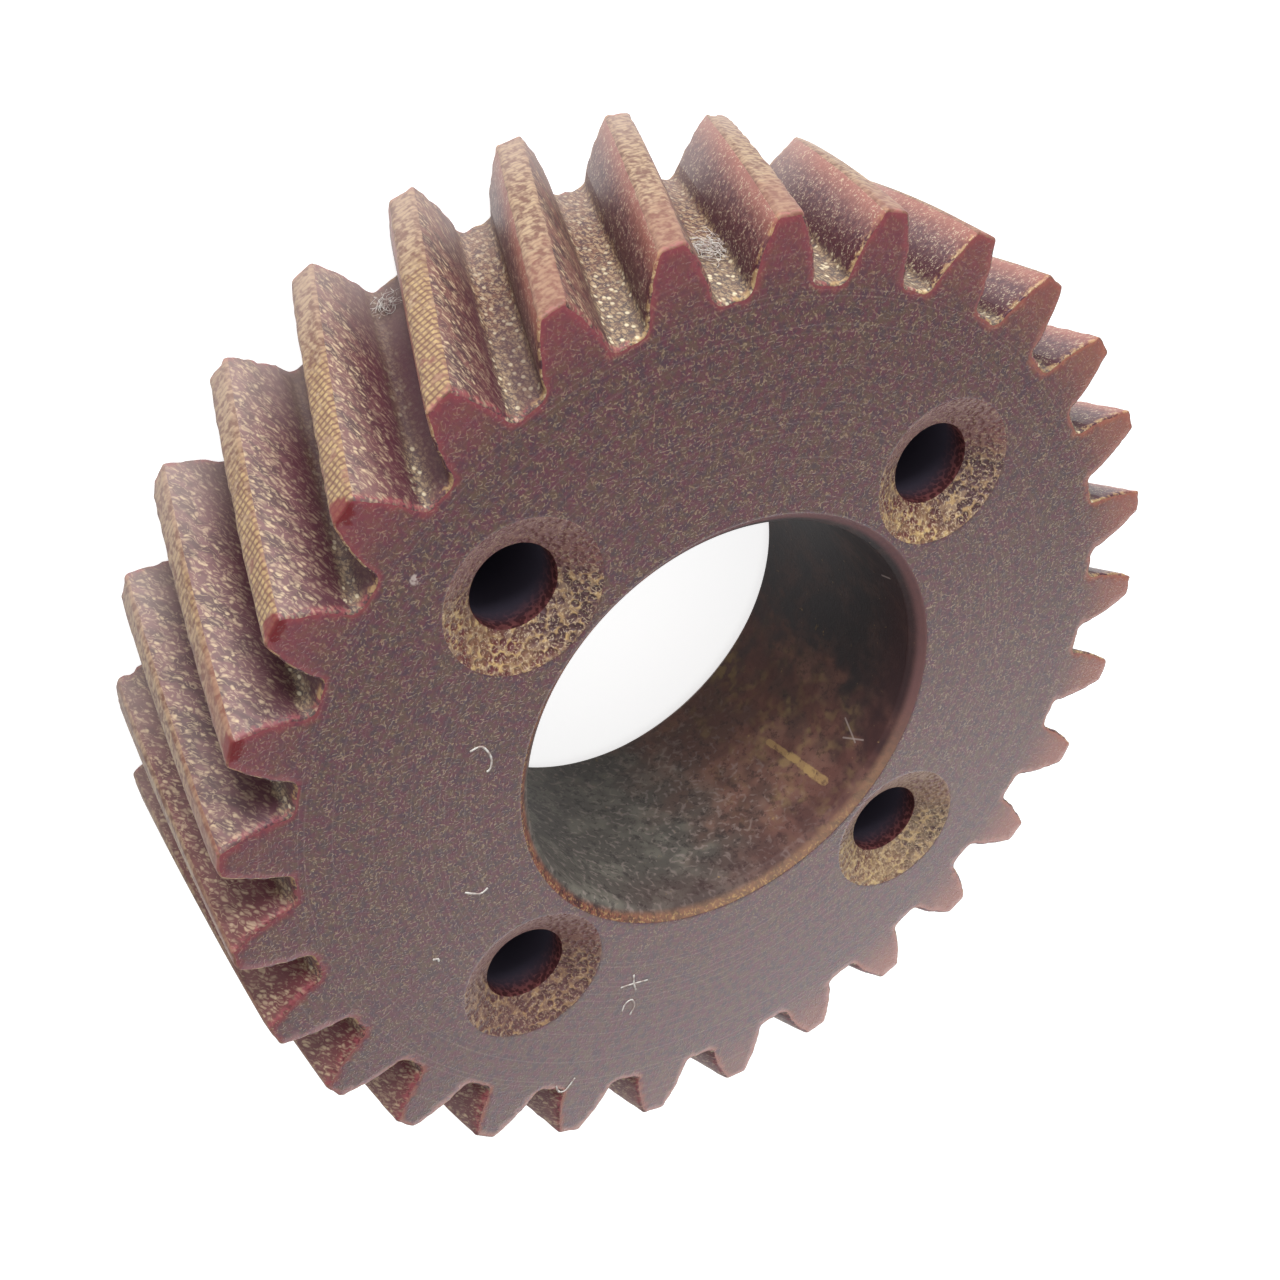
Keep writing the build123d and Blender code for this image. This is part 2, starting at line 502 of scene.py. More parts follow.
class Graph:
    """Writes nodes into a tree. Sockets and plain values can both be fed in."""

    def __init__(self, tree):
        self.tree = tree
        self.tree.nodes.clear()

    def node(self, kind, feeds, **settings):
        node = self.tree.nodes.new(kind)
        for name, value in settings.items():
            setattr(node, name, value)
        for key, value in feeds.items():
            if isinstance(value, bpy.types.NodeSocket):
                self.tree.links.new(value, node.inputs[key])
            else:
                node.inputs[key].default_value = value
        return node

    def math(self, operation, *values):
        feeds = dict(enumerate(values))
        return self.node("ShaderNodeMath", feeds, operation=operation).outputs[0]

    def vector(self, operation, *values):
        feeds = dict(enumerate(values))
        return self.node("ShaderNodeVectorMath", feeds, operation=operation).outputs[0]

    def scaled(self, vector, factor):
        feeds = {"Vector": vector, "Scale": factor}
        return self.node("ShaderNodeVectorMath", feeds, operation="SCALE").outputs[0]

    def length(self, vector):
        return self.node("ShaderNodeVectorMath", {0: vector}, operation="LENGTH").outputs["Value"]

    def dot(self, first, second):
        feeds = {0: first, 1: second}
        return self.node("ShaderNodeVectorMath", feeds, operation="DOT_PRODUCT").outputs["Value"]

    def combine(self, x, y, z):
        return self.node("ShaderNodeCombineXYZ", {0: x, 1: y, 2: z}).outputs[0]

    def separate(self, vector):
        return self.node("ShaderNodeSeparateXYZ", {0: vector}).outputs

    def noise(self, vector, scale, detail=2.0, roughness=0.5, colour=False):
        feeds = {"Vector": vector, "Scale": scale, "Detail": detail, "Roughness": roughness}
        return self.node("ShaderNodeTexNoise", feeds).outputs[1 if colour else 0]

    def cells(self, vector, size, randomness=1.0):
        """Distance to the nearest scattered point, in cell sizes, and a random value per cell."""
        feeds = {"Vector": vector, "Scale": 1 / size, "Randomness": randomness}
        outputs = self.node("ShaderNodeTexVoronoi", feeds).outputs
        return outputs["Distance"], self.separate(outputs["Color"])[0]

    def smooth(self, value, low, high):
        """0 at low, 1 at high and smooth between. The two may come in either order."""
        flipped = low > high
        feeds = {"Value": value, "From Min": min(low, high), "From Max": max(low, high)}
        feeds.update({"To Min": 1.0 if flipped else 0.0, "To Max": 0.0 if flipped else 1.0})
        return self.node("ShaderNodeMapRange", feeds, interpolation_type="SMOOTHSTEP").outputs[0]

    def product(self, *values):
        result = values[0]
        for value in values[1:]:
            result = self.math("MULTIPLY", result, value)
        return result

    def mix(self, share, first, second):
        """The first colour with a share of the second. Inputs 6 and 7 are the colour ones."""
        feeds = {0: share, 6: first, 7: second}
        return self.node("ShaderNodeMix", feeds, data_type="RGBA").outputs[2]

    def attribute(self, name):
        return self.node("ShaderNodeAttribute", {}, attribute_name=name).outputs["Fac"]

    def place(self):
        """Place in the part's own frame, in millimetres."""
        return self.scaled(self.node("ShaderNodeTexCoord", {}).outputs["Object"], 1 / MM)

    def surface(self, colour, roughness, height, relief, specular=0.5):
        """A surface with a relief, as deep as given where its height goes from 0 to 1."""
        feeds = {"Height": height, "Distance": relief * MM, "Strength": 1.0}
        bump = self.node("ShaderNodeBump", feeds)
        feeds = {
            "Base Color": colour,
            "Roughness": roughness,
            "Specular IOR Level": specular,
            "Normal": bump.outputs[0],
        }
        shader = self.node("ShaderNodeBsdfPrincipled", feeds)
        self.node("ShaderNodeOutputMaterial", {0: shader.outputs[0]})


def new_material(name):
    material = bpy.data.materials.new(name)
    material.use_nodes = True
    return material, Graph(material.node_tree)


def srgb(red, green, blue):
    """A colour given by its eight-bit screen values."""
    shares = (red / 255, green / 255, blue / 255)
    linear = [s / 12.92 if s <= 0.04045 else ((s + 0.055) / 1.055) ** 2.4 for s in shares]
    return (*linear, 1.0)


WHITE = (1.0, 1.0, 1.0, 1.0)
MAUVE = srgb(86, 42, 54)
OLIVE_GREY = srgb(84, 62, 50)
SLATE = srgb(56, 40, 52)
KHAKI = srgb(166, 144, 112)
MAROON = srgb(98, 60, 54)
DARK_MAROON = srgb(60, 32, 34)
DEEP_PURPLE = srgb(66, 24, 36)
DULL_RED = srgb(106, 62, 62)
DULL_PURPLE = srgb(98, 66, 70)
CRIMSON = srgb(130, 56, 64)
RUST = srgb(156, 92, 74)
BLOOD_RED = srgb(92, 2, 10)
RED_BROWN = srgb(116, 68, 54)
BROWN = srgb(92, 58, 44)
TAN = srgb(128, 104, 84)
OCHRE = srgb(170, 140, 94)
STRAW = srgb(158, 134, 92)
GOLD = srgb(178, 150, 98)
BEIGE = srgb(202, 182, 150)
CREAM = srgb(204, 192, 162)
# Pale dust, also used as a painted sheen on the teeth
DUST_AND_SHEEN = srgb(164, 148, 142)
LINT_GREY = srgb(206, 202, 196)
BLACK_DIRT_AND_SHADE = srgb(38, 32, 34)
GREEN_DIRT = srgb(102, 98, 90)
RUSTY_DIRT = srgb(120, 86, 76)
HOLE_SHADE = srgb(68, 63, 76)


# Parts of the looks. A noise, a share or a chance runs from 0 to 1, and a place is in millimetres.

def band(g, value, middle, half_width):
    """1 where a value is at the middle of a band, falling to 0 at its sides."""
    return g.smooth(g.math("ABSOLUTE", g.math("SUBTRACT", value, middle)), half_width, 0.0)


def stretched(g, place, stretch):
    return g.vector("MULTIPLY", place, (1.0, 1.0, 1 / stretch))


def from_axis(g, x, y):
    """Distance from the axis of the wheel."""
    return g.length(g.combine(x, y, 0.0))


def shake(g, base, place, scale, amount):
    """Moves a place about by a noise that lies in another, by up to half the amount each way."""
    push = g.vector("SUBTRACT", g.noise(place, scale, 1.0, colour=True), (0.5, 0.5, 0.5))
    return g.vector("MULTIPLY_ADD", push, (amount, amount, amount), base)


def along_tooth(g, place, radius, height, teeth):
    """Place that follows a tooth: round the wheel, then up and along the flank at a slant."""
    cosine, sine = SLANT
    inward = g.math("SUBTRACT", tip_radius, radius)
    across = g.math("MULTIPLY_ADD", inward, cosine, g.product(height, -sine))
    along = g.math("MULTIPLY_ADD", inward, sine, g.product(height, cosine))
    flow = g.combine(g.product(teeth, flow_per_tooth), across, g.product(along, FLOW_SQUEEZE))
    return shake(g, flow, place, FLOW_SHAKES_PER_MM, FLOW_SHAKE)


def worms(g, place, size, width):
    """Short thin strokes, like the ends of fibres: broken contour lines of a noise."""
    line = band(g, g.noise(place, 1 / size, 0.0), 0.5, width)
    return g.product(line, g.smooth(g.noise(place, 1.3 / size, 0.0), 0.47, 0.57))


def grains(g, place, size):
    """Cut yarn ends like grains of rice, in loose rows, which point along the axis."""
    distance, chance = g.cells(stretched(g, place, 2.8), size, 0.85)
    return g.product(g.smooth(distance, 0.50, 0.28), g.smooth(chance, -0.6, 0.7))


def network(g, place, size):
    """Cut yarns that meet all round small dark pits, and the distance from the pits' middles."""
    distance, chance = g.cells(shake(g, place, place, 1 / size, 0.5 * size), size)
    return g.product(g.smooth(distance, 0.44, 0.68), g.smooth(chance, -0.4, 0.7)), distance


def stacked(g, value, spacing):
    """1 in the middle of each layer, falling to 0 between the layers."""
    layer = g.math("FRACT", g.math("DIVIDE", value, spacing))
    return g.smooth(g.math("ABSOLUTE", g.math("SUBTRACT", layer, 0.5)), 0.46, 0.18)


def spot(g, place, centre, radius):
    """1 around a place, falling to 0 at a distance from it."""
    return g.smooth(g.length(g.vector("SUBTRACT", place, centre)), radius, 0.7 * radius)


def stroke(g, place, start, end, half_width):
    """1 on the line from one place to another, falling to 0 at its sides."""
    way = Vector(end) - Vector(start)
    offset = g.vector("SUBTRACT", place, start)
    share = g.product(g.dot(offset, way), 1 / way.length_squared)
    share = g.node("ShaderNodeClamp", {0: share}).outputs[0]
    distance = g.length(g.vector("SUBTRACT", offset, g.scaled(way, share)))
    return g.smooth(distance, half_width, 0.5 * half_width)


def resin_patches(g, place, colour):
    """Blood-red resin that broke open on the corners of a few teeth."""
    shaken = shake(g, place, place, 1.8, 0.9)
    for centre in RESIN_PATCHES:
        patch = g.product(spot(g, shaken, centre, RESIN_REACH), 0.85)
        colour = g.mix(patch, colour, BLOOD_RED)
    return colour


def round_the_wheel(g, place):
    """Radius, height, and the count of teeth round from the first one, followed along the helix."""
    x, y, z = g.separate(place)
    depth = g.math("SUBTRACT", FACE_WIDTH, z)
    turn = g.math("MULTIPLY_ADD", depth, turn_per_mm, g.math("ARCTAN2", y, x))
    teeth = g.math("DIVIDE", g.math("SUBTRACT", turn, math.radians(TOOTH_PHASE)), tooth_pitch)
    return from_axis(g, x, y), z, teeth


# Materials of the wheel

def face_material():
    """Turned end faces: mottled mauve and olive resin with fine pale curls, redder on the teeth."""
    material, g = new_material("laminate_face")
    place = g.place()
    x, y = g.separate(place)[:2]
    radius = from_axis(g, x, y)
    mottle, patch, share = g.separate(g.noise(place, 1.8, 2.0, 0.75, colour=True))
    colour = g.mix(g.smooth(mottle, 0.33, 0.67), MAUVE, OLIVE_GREY)
    colour = g.mix(g.product(g.smooth(patch, 0.42, 0.68), 0.7), colour, SLATE)
    curls = worms(g, place, FACE_CURL, 0.14)
    shown = g.product(g.smooth(share, 0.3, 0.75), g.smooth(g.math("SUBTRACT", x, y), 38.0, 6.0))
    colour = g.mix(g.product(curls, shown, 0.55), colour, KHAKI)
    rings = g.noise(g.combine(radius, 0.0, 0.0), 5.0, 1.0)
    colour = g.mix(g.product(g.smooth(rings, 0.5, 0.75), 0.12), colour, DUST_AND_SHEEN)
    reddened = g.mix(g.smooth(x, -16.0, 4.0), CRIMSON, RUST)
    toward_tip = g.smooth(radius, root_radius - 1.5, tip_radius)
    strength = g.math("MULTIPLY_ADD", g.smooth(x, -6.0, 18.0), 0.12, 0.5)
    strength = g.product(strength, g.smooth(y, -32.0, -6.0))
    colour = g.mix(g.product(toward_tip, strength), colour, reddened)
    rim = g.product(g.smooth(g.attribute("edge"), 0.1, 0.95), g.smooth(mottle, 0.25, 0.5))
    colour = g.mix(g.product(rim, 0.6), colour, reddened)
    pale = spot(g, place, PALE_SPOT, PALE_SPOT_REACH)
    colour = g.mix(g.product(pale, g.smooth(mottle, 0.4, 0.55)), colour, DUST_AND_SHEEN)
    colour = resin_patches(g, place, colour)
    g.surface(colour, 0.36, curls, FACE_RELIEF, specular=0.33)
    return material


def rough_flank(g, place, grain, radius, flow):
    """The flank that runs free: frayed, with thin pale yarn ends over mauve brown, a painted sheen
    toward the tips and painted shade deep down.
    """
    y = g.separate(place)[1]
    streaks = g.noise(flow, 1.6, 1.0)
    lighter = g.mix(g.product(g.smooth(y, 12.0, -6.0), 0.6), MAROON, DULL_PURPLE)
    colour = g.mix(g.smooth(streaks, 0.36, 0.62), DARK_MAROON, lighter)
    # Painted sheen: a pale veil toward the tips, on the teeth at low y, stands in for light
    # glancing off the flank.
    tip_sheen = g.smooth(radius, root_radius + 1.6, tip_radius - 0.4)
    colour = g.mix(g.product(tip_sheen, g.smooth(y, 14.0, 0.0), 0.12), colour, DUST_AND_SHEEN)
    # Painted shade: the flank darkens to deep purple near the root, where shade falls in the
    # gullet, and its pale yarn ends fade there too.
    ragged = g.math("MULTIPLY_ADD", grain, 1.4, radius)
    deep = g.smooth(ragged, root_radius + 4.2, root_radius + 1.6)
    deep = g.product(deep, g.smooth(y, 22.0, 8.0))
    colour = g.mix(g.product(deep, 0.9), colour, DEEP_PURPLE)
    distance, chance = g.cells(flow, FLANK_STROKE)
    strokes = g.product(g.smooth(distance, 0.50, 0.18), g.smooth(chance, -0.3, 0.7))
    hairs = g.product(worms(g, flow, FLANK_HAIR, 0.12), 0.6)
    threads = g.math("MAXIMUM", strokes, hairs)
    patchy = g.math("MULTIPLY_ADD", g.smooth(grain, 0.35, 0.6), 0.35, 0.48)
    patchy = g.product(patchy, g.math("MULTIPLY_ADD", deep, -0.65, 1.0))
    pale = g.mix(g.math("MULTIPLY_ADD", g.smooth(y, 6.0, 20.0), 0.6, 0.4), BEIGE, KHAKI)
    colour = g.mix(g.product(threads, patchy), colour, pale)
    lowest = g.product(g.smooth(y, -17.0, -25.0), 0.5)
    return g.mix(lowest, colour, g.mix(g.product(threads, 0.5), BLOOD_RED, BEIGE))


def worn_flank(g, place, grain, radius):
    """The flank that the worm rubs: smooth and dark, with painted shade deeper in and small bright
    specks.
    """
    colour = g.mix(g.smooth(grain, 0.35, 0.65), DEEP_PURPLE, DULL_RED)
    # Painted shade: the flank darkens toward the root, as in the shade of the gullet.
    inner = g.smooth(radius, tip_radius - 1.2, tip_radius - 3.0)
    colour = g.mix(g.product(inner, 0.8), colour, DEEP_PURPLE)
    outer = g.smooth(radius, tip_radius - 1.8, tip_radius - 0.2)
    colour = g.mix(g.product(outer, 0.6), colour, RUST)
    specks = g.product(worms(g, place, WORN_SPECK, 0.14), g.smooth(grain, 0.42, 0.60), 0.7)
    return g.mix(specks, colour, CREAM)


def land(g, place, grain, height):
    """The tips: plies cut across, ochre yarns stacked between thin brown lines."""
    x, y = g.separate(place)[:2]
    bend, dash, share = g.separate(g.noise(place, 1.1, 2.0, 0.7, colour=True))
    ribs = stacked(g, g.math("MULTIPLY_ADD", bend, 0.7, height), PLY)
    ribs = g.product(ribs, g.smooth(g.noise(place, 2.2, 1.0), 0.40, 0.60))
    hazy = g.mix(g.smooth(grain, 0.35, 0.6), BROWN, TAN)
    hazy = g.mix(g.product(ribs, 0.5), hazy, KHAKI)
    front = g.smooth(g.math("MULTIPLY_ADD", share, 7.0, height), 13.5, 19.0)
    hazy = g.mix(g.product(front, 0.5), hazy, RED_BROWN)
    rows = stacked(g, g.math("MULTIPLY_ADD", bend, 0.12, height), PLY)
    bent = g.math("MULTIPLY_ADD", share, 0.3, y)
    dots = g.product(rows, g.math("MULTIPLY_ADD", stacked(g, bent, YARN), 0.75, 0.25))
    woven = g.mix(g.smooth(grain, 0.45, 0.85), BROWN, TAN)
    woven = g.mix(g.product(dots, g.math("MULTIPLY_ADD", grain, 1.5, 0.1)), woven, STRAW)
    left = g.product(g.smooth(x, -30.2, -31.4), g.smooth(height, 5.0, 10.0))
    return g.mix(g.product(left, g.smooth(dash, 0.34, 0.48)), hazy, woven)


def root(g, place, grain, height, teeth):
    """Between the teeth: cut yarn ends, pale near the front, with painted shade behind, and partly
    darker fibre and partly painted shade by the worn flanks.
    """
    y = g.separate(place)[1]
    front = g.product(g.smooth(height, 7.0, 16.0), g.smooth(y, -26.0, -16.0))
    base = g.mix(g.smooth(grain, 0.4, 0.6), DARK_MAROON, BROWN)
    base = g.mix(g.product(front, 0.35), base, GREEN_DIRT)
    fine = g.math("MAXIMUM", grains(g, place, ROOT_GRAIN), worms(g, place, ROOT_GRAIN, 0.12))
    colour = g.mix(g.product(fine, 0.6), base, KHAKI)
    distance, chance = g.cells(stretched(g, place, 1.5), ROOT_FLECK)
    flecks = g.product(g.smooth(distance, 0.40, 0.20), g.smooth(chance, 0.25, 0.65))
    colour = g.mix(g.product(flecks, g.math("MULTIPLY_ADD", front, 0.4, 0.45)), colour, CREAM)
    shaded = g.product(g.smooth(height, 15.5, 12.0), g.smooth(y, 12.0, 5.0), 0.7)
    colour = g.mix(shaded, colour, DARK_MAROON)
    # Partly painted shade: on the left and lower teeth the gullet by the worn flank darkens, partly
    # darker fibre and partly the shade under the tooth.
    ragged = g.math("MULTIPLY_ADD", grain, 0.2, g.math("FRACT", teeth))
    shade_beside_worn = g.product(g.smooth(ragged, 0.76, 0.58), g.smooth(y, 14.0, 6.0), 0.85)
    return g.mix(shade_beside_worn, colour, DEEP_PURPLE)


def rubbed_edges(g, colour, grain, side, height):
    """Edges that are rubbed red brown along the tips, and crimson or ochre at the ends."""
    edge = g.product(g.attribute("edge"), g.smooth(grain, 0.42, 0.58))
    from_middle = g.math("ABSOLUTE", g.math("SUBTRACT", height, FACE_WIDTH / 2))
    at_end = g.smooth(from_middle, FACE_WIDTH / 2 - 0.6, FACE_WIDTH / 2 - 0.2)
    gilded = g.product(at_end, g.smooth(side, 0.05, 0.15))
    rubbed = g.mix(gilded, g.mix(at_end, RED_BROWN, CRIMSON), OCHRE)
    return g.mix(g.product(edge, g.math("MULTIPLY_ADD", at_end, 0.4, 0.18)), colour, rubbed)


def teeth_material(name, looks, roughness):
    """Hobbed teeth: one or more of the looks of land, worn flank, rough flank and root."""
    material, g = new_material(name)
    place = g.place()
    radius, height, teeth = round_the_wheel(g, place)
    side = g.math("SUBTRACT", teeth, g.math("ROUND", teeth))
    grain = g.noise(place, 2.2, 2.0, 0.7)
    if "land" in looks:
        colour = land(g, place, grain, height)
    if "rough" in looks:
        flow = along_tooth(g, place, radius, height, teeth)
        colour = rough_flank(g, place, grain, radius, flow)
    if "worn" in looks:
        worn = worn_flank(g, place, grain, radius)
        colour = g.mix(g.smooth(side, -0.02, 0.02), colour, worn) if "rough" in looks else worn
    if "root" in looks:
        edge_of_fluff = g.math("MULTIPLY_ADD", grain, -1.5, radius)
        is_root = g.smooth(edge_of_fluff, root_radius - 0.05, root_radius - 0.45)
        colour = g.mix(is_root, colour, root(g, place, grain, height, teeth))
    colour = rubbed_edges(g, colour, grain, side, height)
    if "land" in looks:
        colour = resin_patches(g, place, colour)
    # Painted sheen: a pale veil toward the back ends of the teeth stands in for light glancing off
    # them.
    back = g.smooth(height, 8.0, 0.0)
    colour = g.mix(g.product(back, 0.3), colour, DUST_AND_SHEEN)
    g.surface(colour, roughness, grain, TOOTH_RELIEF)
    return material


def from_nearest_screw(g, x, y):
    """Offset from the axis of the nearest screw hole. The four lie on the x and the y axis."""
    on_x = g.math("GREATER_THAN", g.math("ABSOLUTE", x), g.math("ABSOLUTE", y))
    on_y = g.math("SUBTRACT", 1.0, on_x)
    centre_x = g.product(g.math("SIGN", x), on_x, SCREW_CIRCLE_RADIUS)
    centre_y = g.product(g.math("SIGN", y), on_y, SCREW_CIRCLE_RADIUS)
    return g.math("SUBTRACT", x, centre_x), g.math("SUBTRACT", y, centre_y)


def cone_material():
    """Countersinks: ochre yarns round dark red pits, painted lighter and golden on their lit side
    and dull mauve as painted shade on the other.
    """
    material, g = new_material("laminate_cone")
    place = g.place()
    x, y = g.separate(place)[:2]
    beside_x, beside_y = from_nearest_screw(g, x, y)
    grain = g.noise(place, 2.0, 2.0, 0.7)
    yarns, pits = network(g, place, CONE_PIT)
    # Painted light: the wall on the -y side of each countersink, which faces the light, is painted
    # redder in its pits and more golden.
    toward_shade_side = g.math("MULTIPLY_ADD", g.noise(place, 0.9, 1.0), 5.0, beside_y)
    lit_side = g.product(g.smooth(toward_shade_side, 2.2, -1.2), g.smooth(y, -26.0, -14.0))
    ground = g.mix(g.product(lit_side, 0.5), DARK_MAROON, BLOOD_RED)
    bright = g.mix(g.smooth(grain, 0.40, 0.62), TAN, g.mix(lit_side, OCHRE, GOLD))
    colour = g.mix(g.product(yarns, 0.95), ground, bright)
    calm = g.smooth(g.noise(place, 0.6, 1.0), 0.42, 0.62)
    colour = g.mix(g.product(calm, 0.3), colour, g.mix(lit_side, DULL_PURPLE, STRAW))
    curls = g.product(worms(g, place, CONE_CURL, 0.12), 0.5)
    colour = g.mix(curls, colour, BEIGE)
    # Painted shade: the wall on the +y side of each countersink, which catches less light, is
    # painted dull red.
    away = g.math("SUBTRACT", beside_y, g.product(beside_x, 0.8))
    upper = g.smooth(g.math("MULTIPLY_ADD", grain, 2.0, away), 0.6, 3.6)
    colour = g.mix(g.product(upper, 0.85), colour, g.mix(curls, DULL_RED, KHAKI))
    paler = g.product(g.smooth(x, 15.0, 19.0), g.smooth(grain, 0.3, 0.55), 0.35)
    colour = g.mix(paler, colour, KHAKI)
    dim = g.product(g.smooth(y, 4.0, -18.0), g.smooth(x, 16.0, 4.0), 0.4)
    colour = g.mix(dim, colour, MAROON)
    g.surface(colour, 0.6, g.smooth(pits, 0.15, 0.7), CONE_RELIEF)
    return material


def hole_material():
    """Screw holes: painted shade, nearly black, deeper inside, with some dark red weave near their
    top.
    """
    material, g = new_material("laminate_hole")
    place = g.place()
    z = g.separate(place)[2]
    yarns = network(g, place, HOLE_PIT)[0]
    # Painted shade: below the top few millimetres the hole wall is painted nearly black, as in the
    # shade inside the hole.
    top = g.smooth(z, FACE_WIDTH - 3.4, FACE_WIDTH - 1.5)
    colour = g.mix(top, HOLE_SHADE, g.mix(g.product(yarns, 0.8), DARK_MAROON, DULL_RED))
    g.surface(colour, 0.9, z, 0.0, specular=0.05)
    return material


def bore_wall(g, place, grain):
    """The bore's wall: greenish dirt on one side, black on the other, partly dirt and partly
    painted shade, and rust brown between.
    """
    x, y, z = g.separate(place)
    blotch, drift, rust = g.separate(g.noise(place, 0.4, 2.0, 0.6, colour=True))
    shaken = g.math("MULTIPLY_ADD", drift, 9.0, g.math("SUBTRACT", y, 4.5))
    colour = g.mix(g.smooth(shaken, -4.0, -11.0), RUSTY_DIRT, GREEN_DIRT)
    colour = g.mix(g.product(g.smooth(blotch, 0.60, 0.45), 0.45), colour, BLACK_DIRT_AND_SHADE)
    # Partly painted shade: toward +y the wall darkens to black, partly dirt and partly the shade
    # inside the bore.
    dirt_and_shade = g.product(g.smooth(shaken, 0.0, 7.0), g.smooth(blotch, 0.75, 0.35))
    colour = g.mix(g.product(dirt_and_shade, 0.95), colour, BLACK_DIRT_AND_SHADE)
    colour = g.mix(g.product(g.smooth(shaken, 3.0, 8.0), 0.8), colour, BLACK_DIRT_AND_SHADE)
    colour = g.mix(g.product(g.smooth(grain, 0.50, 0.34), 0.6), colour, BLACK_DIRT_AND_SHADE)
    nicks = g.product(worms(g, place, BORE_NICK, 0.14), g.smooth(grain, 0.38, 0.58))
    colour = g.mix(g.product(nicks, g.smooth(shaken, 2.0, -7.0), 0.4), colour, DUST_AND_SHEEN)
    rusty = g.product(g.smooth(rust, 0.40, 0.66), g.smooth(g.noise(place, 1.3, 1.0), 0.40, 0.65))
    colour = g.mix(g.product(rusty, band(g, shaken, 0.0, 7.0), 0.55), colour, STRAW)
    reddish = g.smooth(g.noise(place, 0.5, 1.0), 0.42, 0.62)
    colour = g.mix(g.product(reddish, band(g, shaken, 1.0, 8.0), 0.5), colour, MAROON)
    by_rim = g.product(g.smooth(z, 13.0, 16.5), g.smooth(x, 1.0, 8.0))
    return g.mix(g.product(by_rim, 0.5), colour, DARK_MAROON)


def scratches(g, place, grain, colour):
    """One wide ragged scratch along the bore, and a few fine ones."""
    ragged = g.math("MULTIPLY_ADD", grain, 2.4, -1.2)
    for start, end, half_width in SCRATCHES:
        scratch = g.math("ADD", stroke(g, place, start, end, half_width), ragged)
        colour = g.mix(g.product(g.smooth(scratch, 0.35, 1.1), 0.65), colour, OCHRE)
    for start, end, half_width in FINE_SCRATCHES:
        colour = g.mix(g.product(stroke(g, place, start, end, half_width), 0.6), colour, DUST_AND_SHEEN)
    return colour


def bore_rim(g, place, grain, radius):
    """The chamfers: red brown with ochre curls along their outer edge, and duller on one side."""
    x, y = g.separate(place)[:2]
    colour = g.mix(g.smooth(grain, 0.35, 0.6), DARK_MAROON, RED_BROWN)
    colour = g.mix(g.product(g.smooth(x, -2.0, 11.0), 0.6), colour, TAN)
    outer = g.smooth(radius, BORE_RADIUS + 0.35, BORE_RADIUS + 0.75)
    curls = g.product(worms(g, place, RIM_CURL, 0.15), g.smooth(y, 6.0, -8.0), outer)
    colour = g.mix(g.product(curls, 0.65), colour, OCHRE)
    return g.mix(g.product(g.smooth(y, 2.0, 9.0), 0.8), colour, DULL_PURPLE)


def bore_material():
    material, g = new_material("laminate_bore")
    place = g.place()
    x, y = g.separate(place)[:2]
    radius = from_axis(g, x, y)
    grain = g.noise(place, 1.5, 3.0, 0.8)
    wall = scratches(g, place, grain, bore_wall(g, place, grain))
    chamfer = g.smooth(radius, BORE_RADIUS + 0.22, BORE_RADIUS + 0.62)
    colour = g.mix(chamfer, wall, bore_rim(g, place, grain, radius))
    g.surface(colour, 0.62, grain, BORE_RELIEF, specular=0.25)
    return material


# Lint

def lint_material():
    material, g = new_material("lint")
    place = g.place()
    grain = g.noise(place, 3.0, 1.0)
    colour = g.mix(g.smooth(grain, 0.4, 0.6), DUST_AND_SHEEN, LINT_GREY)
    g.surface(colour, 0.8, grain, LINT_RELIEF, specular=0.2)
    return material


def smoothed(points):
    """A finer polyline through the points of a coarse one."""
    points = np.array(points, float)
    before = np.concatenate([points[:1], points[:-1]])[:-1]
    after = np.concatenate([points[1:], points[-1:]])[1:]
    start, end = points[:-1], points[1:]
    rows = []
    for t in np.arange(LINT_STEPS) / LINT_STEPS:
        rows.append(0.5 * (
            2 * start + (end - before) * t
            + (2 * before - 5 * start + 4 * end - after) * t ** 2
            + (3 * start - before - 3 * end + after) * t ** 3
        ))
    return np.concatenate([np.stack(rows, axis=1).reshape(-1, 3), points[-1:]])


def add_fibre(points, faces, line, normal, half_width, half_height):
    """A closed flat tube of four sides along a line."""
    line = smoothed(line)
    tangent = np.gradient(line, axis=0)
    across = np.cross(tangent, normal)
    across /= np.linalg.norm(across, axis=1)[:, None]
    start = len(points)
    for place, side in zip(line, across):
        up = np.array(normal) * half_height
        for corner in (side * half_width, up, -side * half_width, -up):
            points.append(tuple((place + corner) * MM))
    for step in range(start, start + 4 * (len(line) - 1), 4):
        for side in range(4):
            following = (side + 1) % 4
            faces.append((step + side, step + following, step + 4 + following, step + 4 + side))
    last = start + 4 * (len(line) - 1)
    faces.append((start + 3, start + 2, start + 1, start))
    faces.append((last, last + 1, last + 2, last + 3))


def tuft_fibre(centre, reach, draw):
    """A curl of fluff that stands off the root surface between two teeth."""
    outward = Vector((centre[0], centre[1], 0)).normalized()
    aside = Vector((0, 0, 1)).cross(outward)
    angle = draw.uniform(0, 2 * math.pi)
    curl = draw.uniform(-TUFT_CURL, TUFT_CURL)
    spot_aside, spot_up = draw.normal(0, TUFT_SPREAD * reach, 2)
    lift = draw.uniform(*TUFT_LIFT)
    line = []
    for step in range(TUFT_POINTS):
        raised = lift + TUFT_WAVE * math.sin(2 * step)
        flat = aside * float(spot_aside) + Vector((0, 0, float(spot_up)))
        line.append(Vector(centre) + flat + outward * raised)
        spot_aside += TUFT_STEP * reach * math.cos(angle)
        spot_up += TUFT_STEP * reach * math.sin(angle)
        angle += curl / 2
    return line, outward


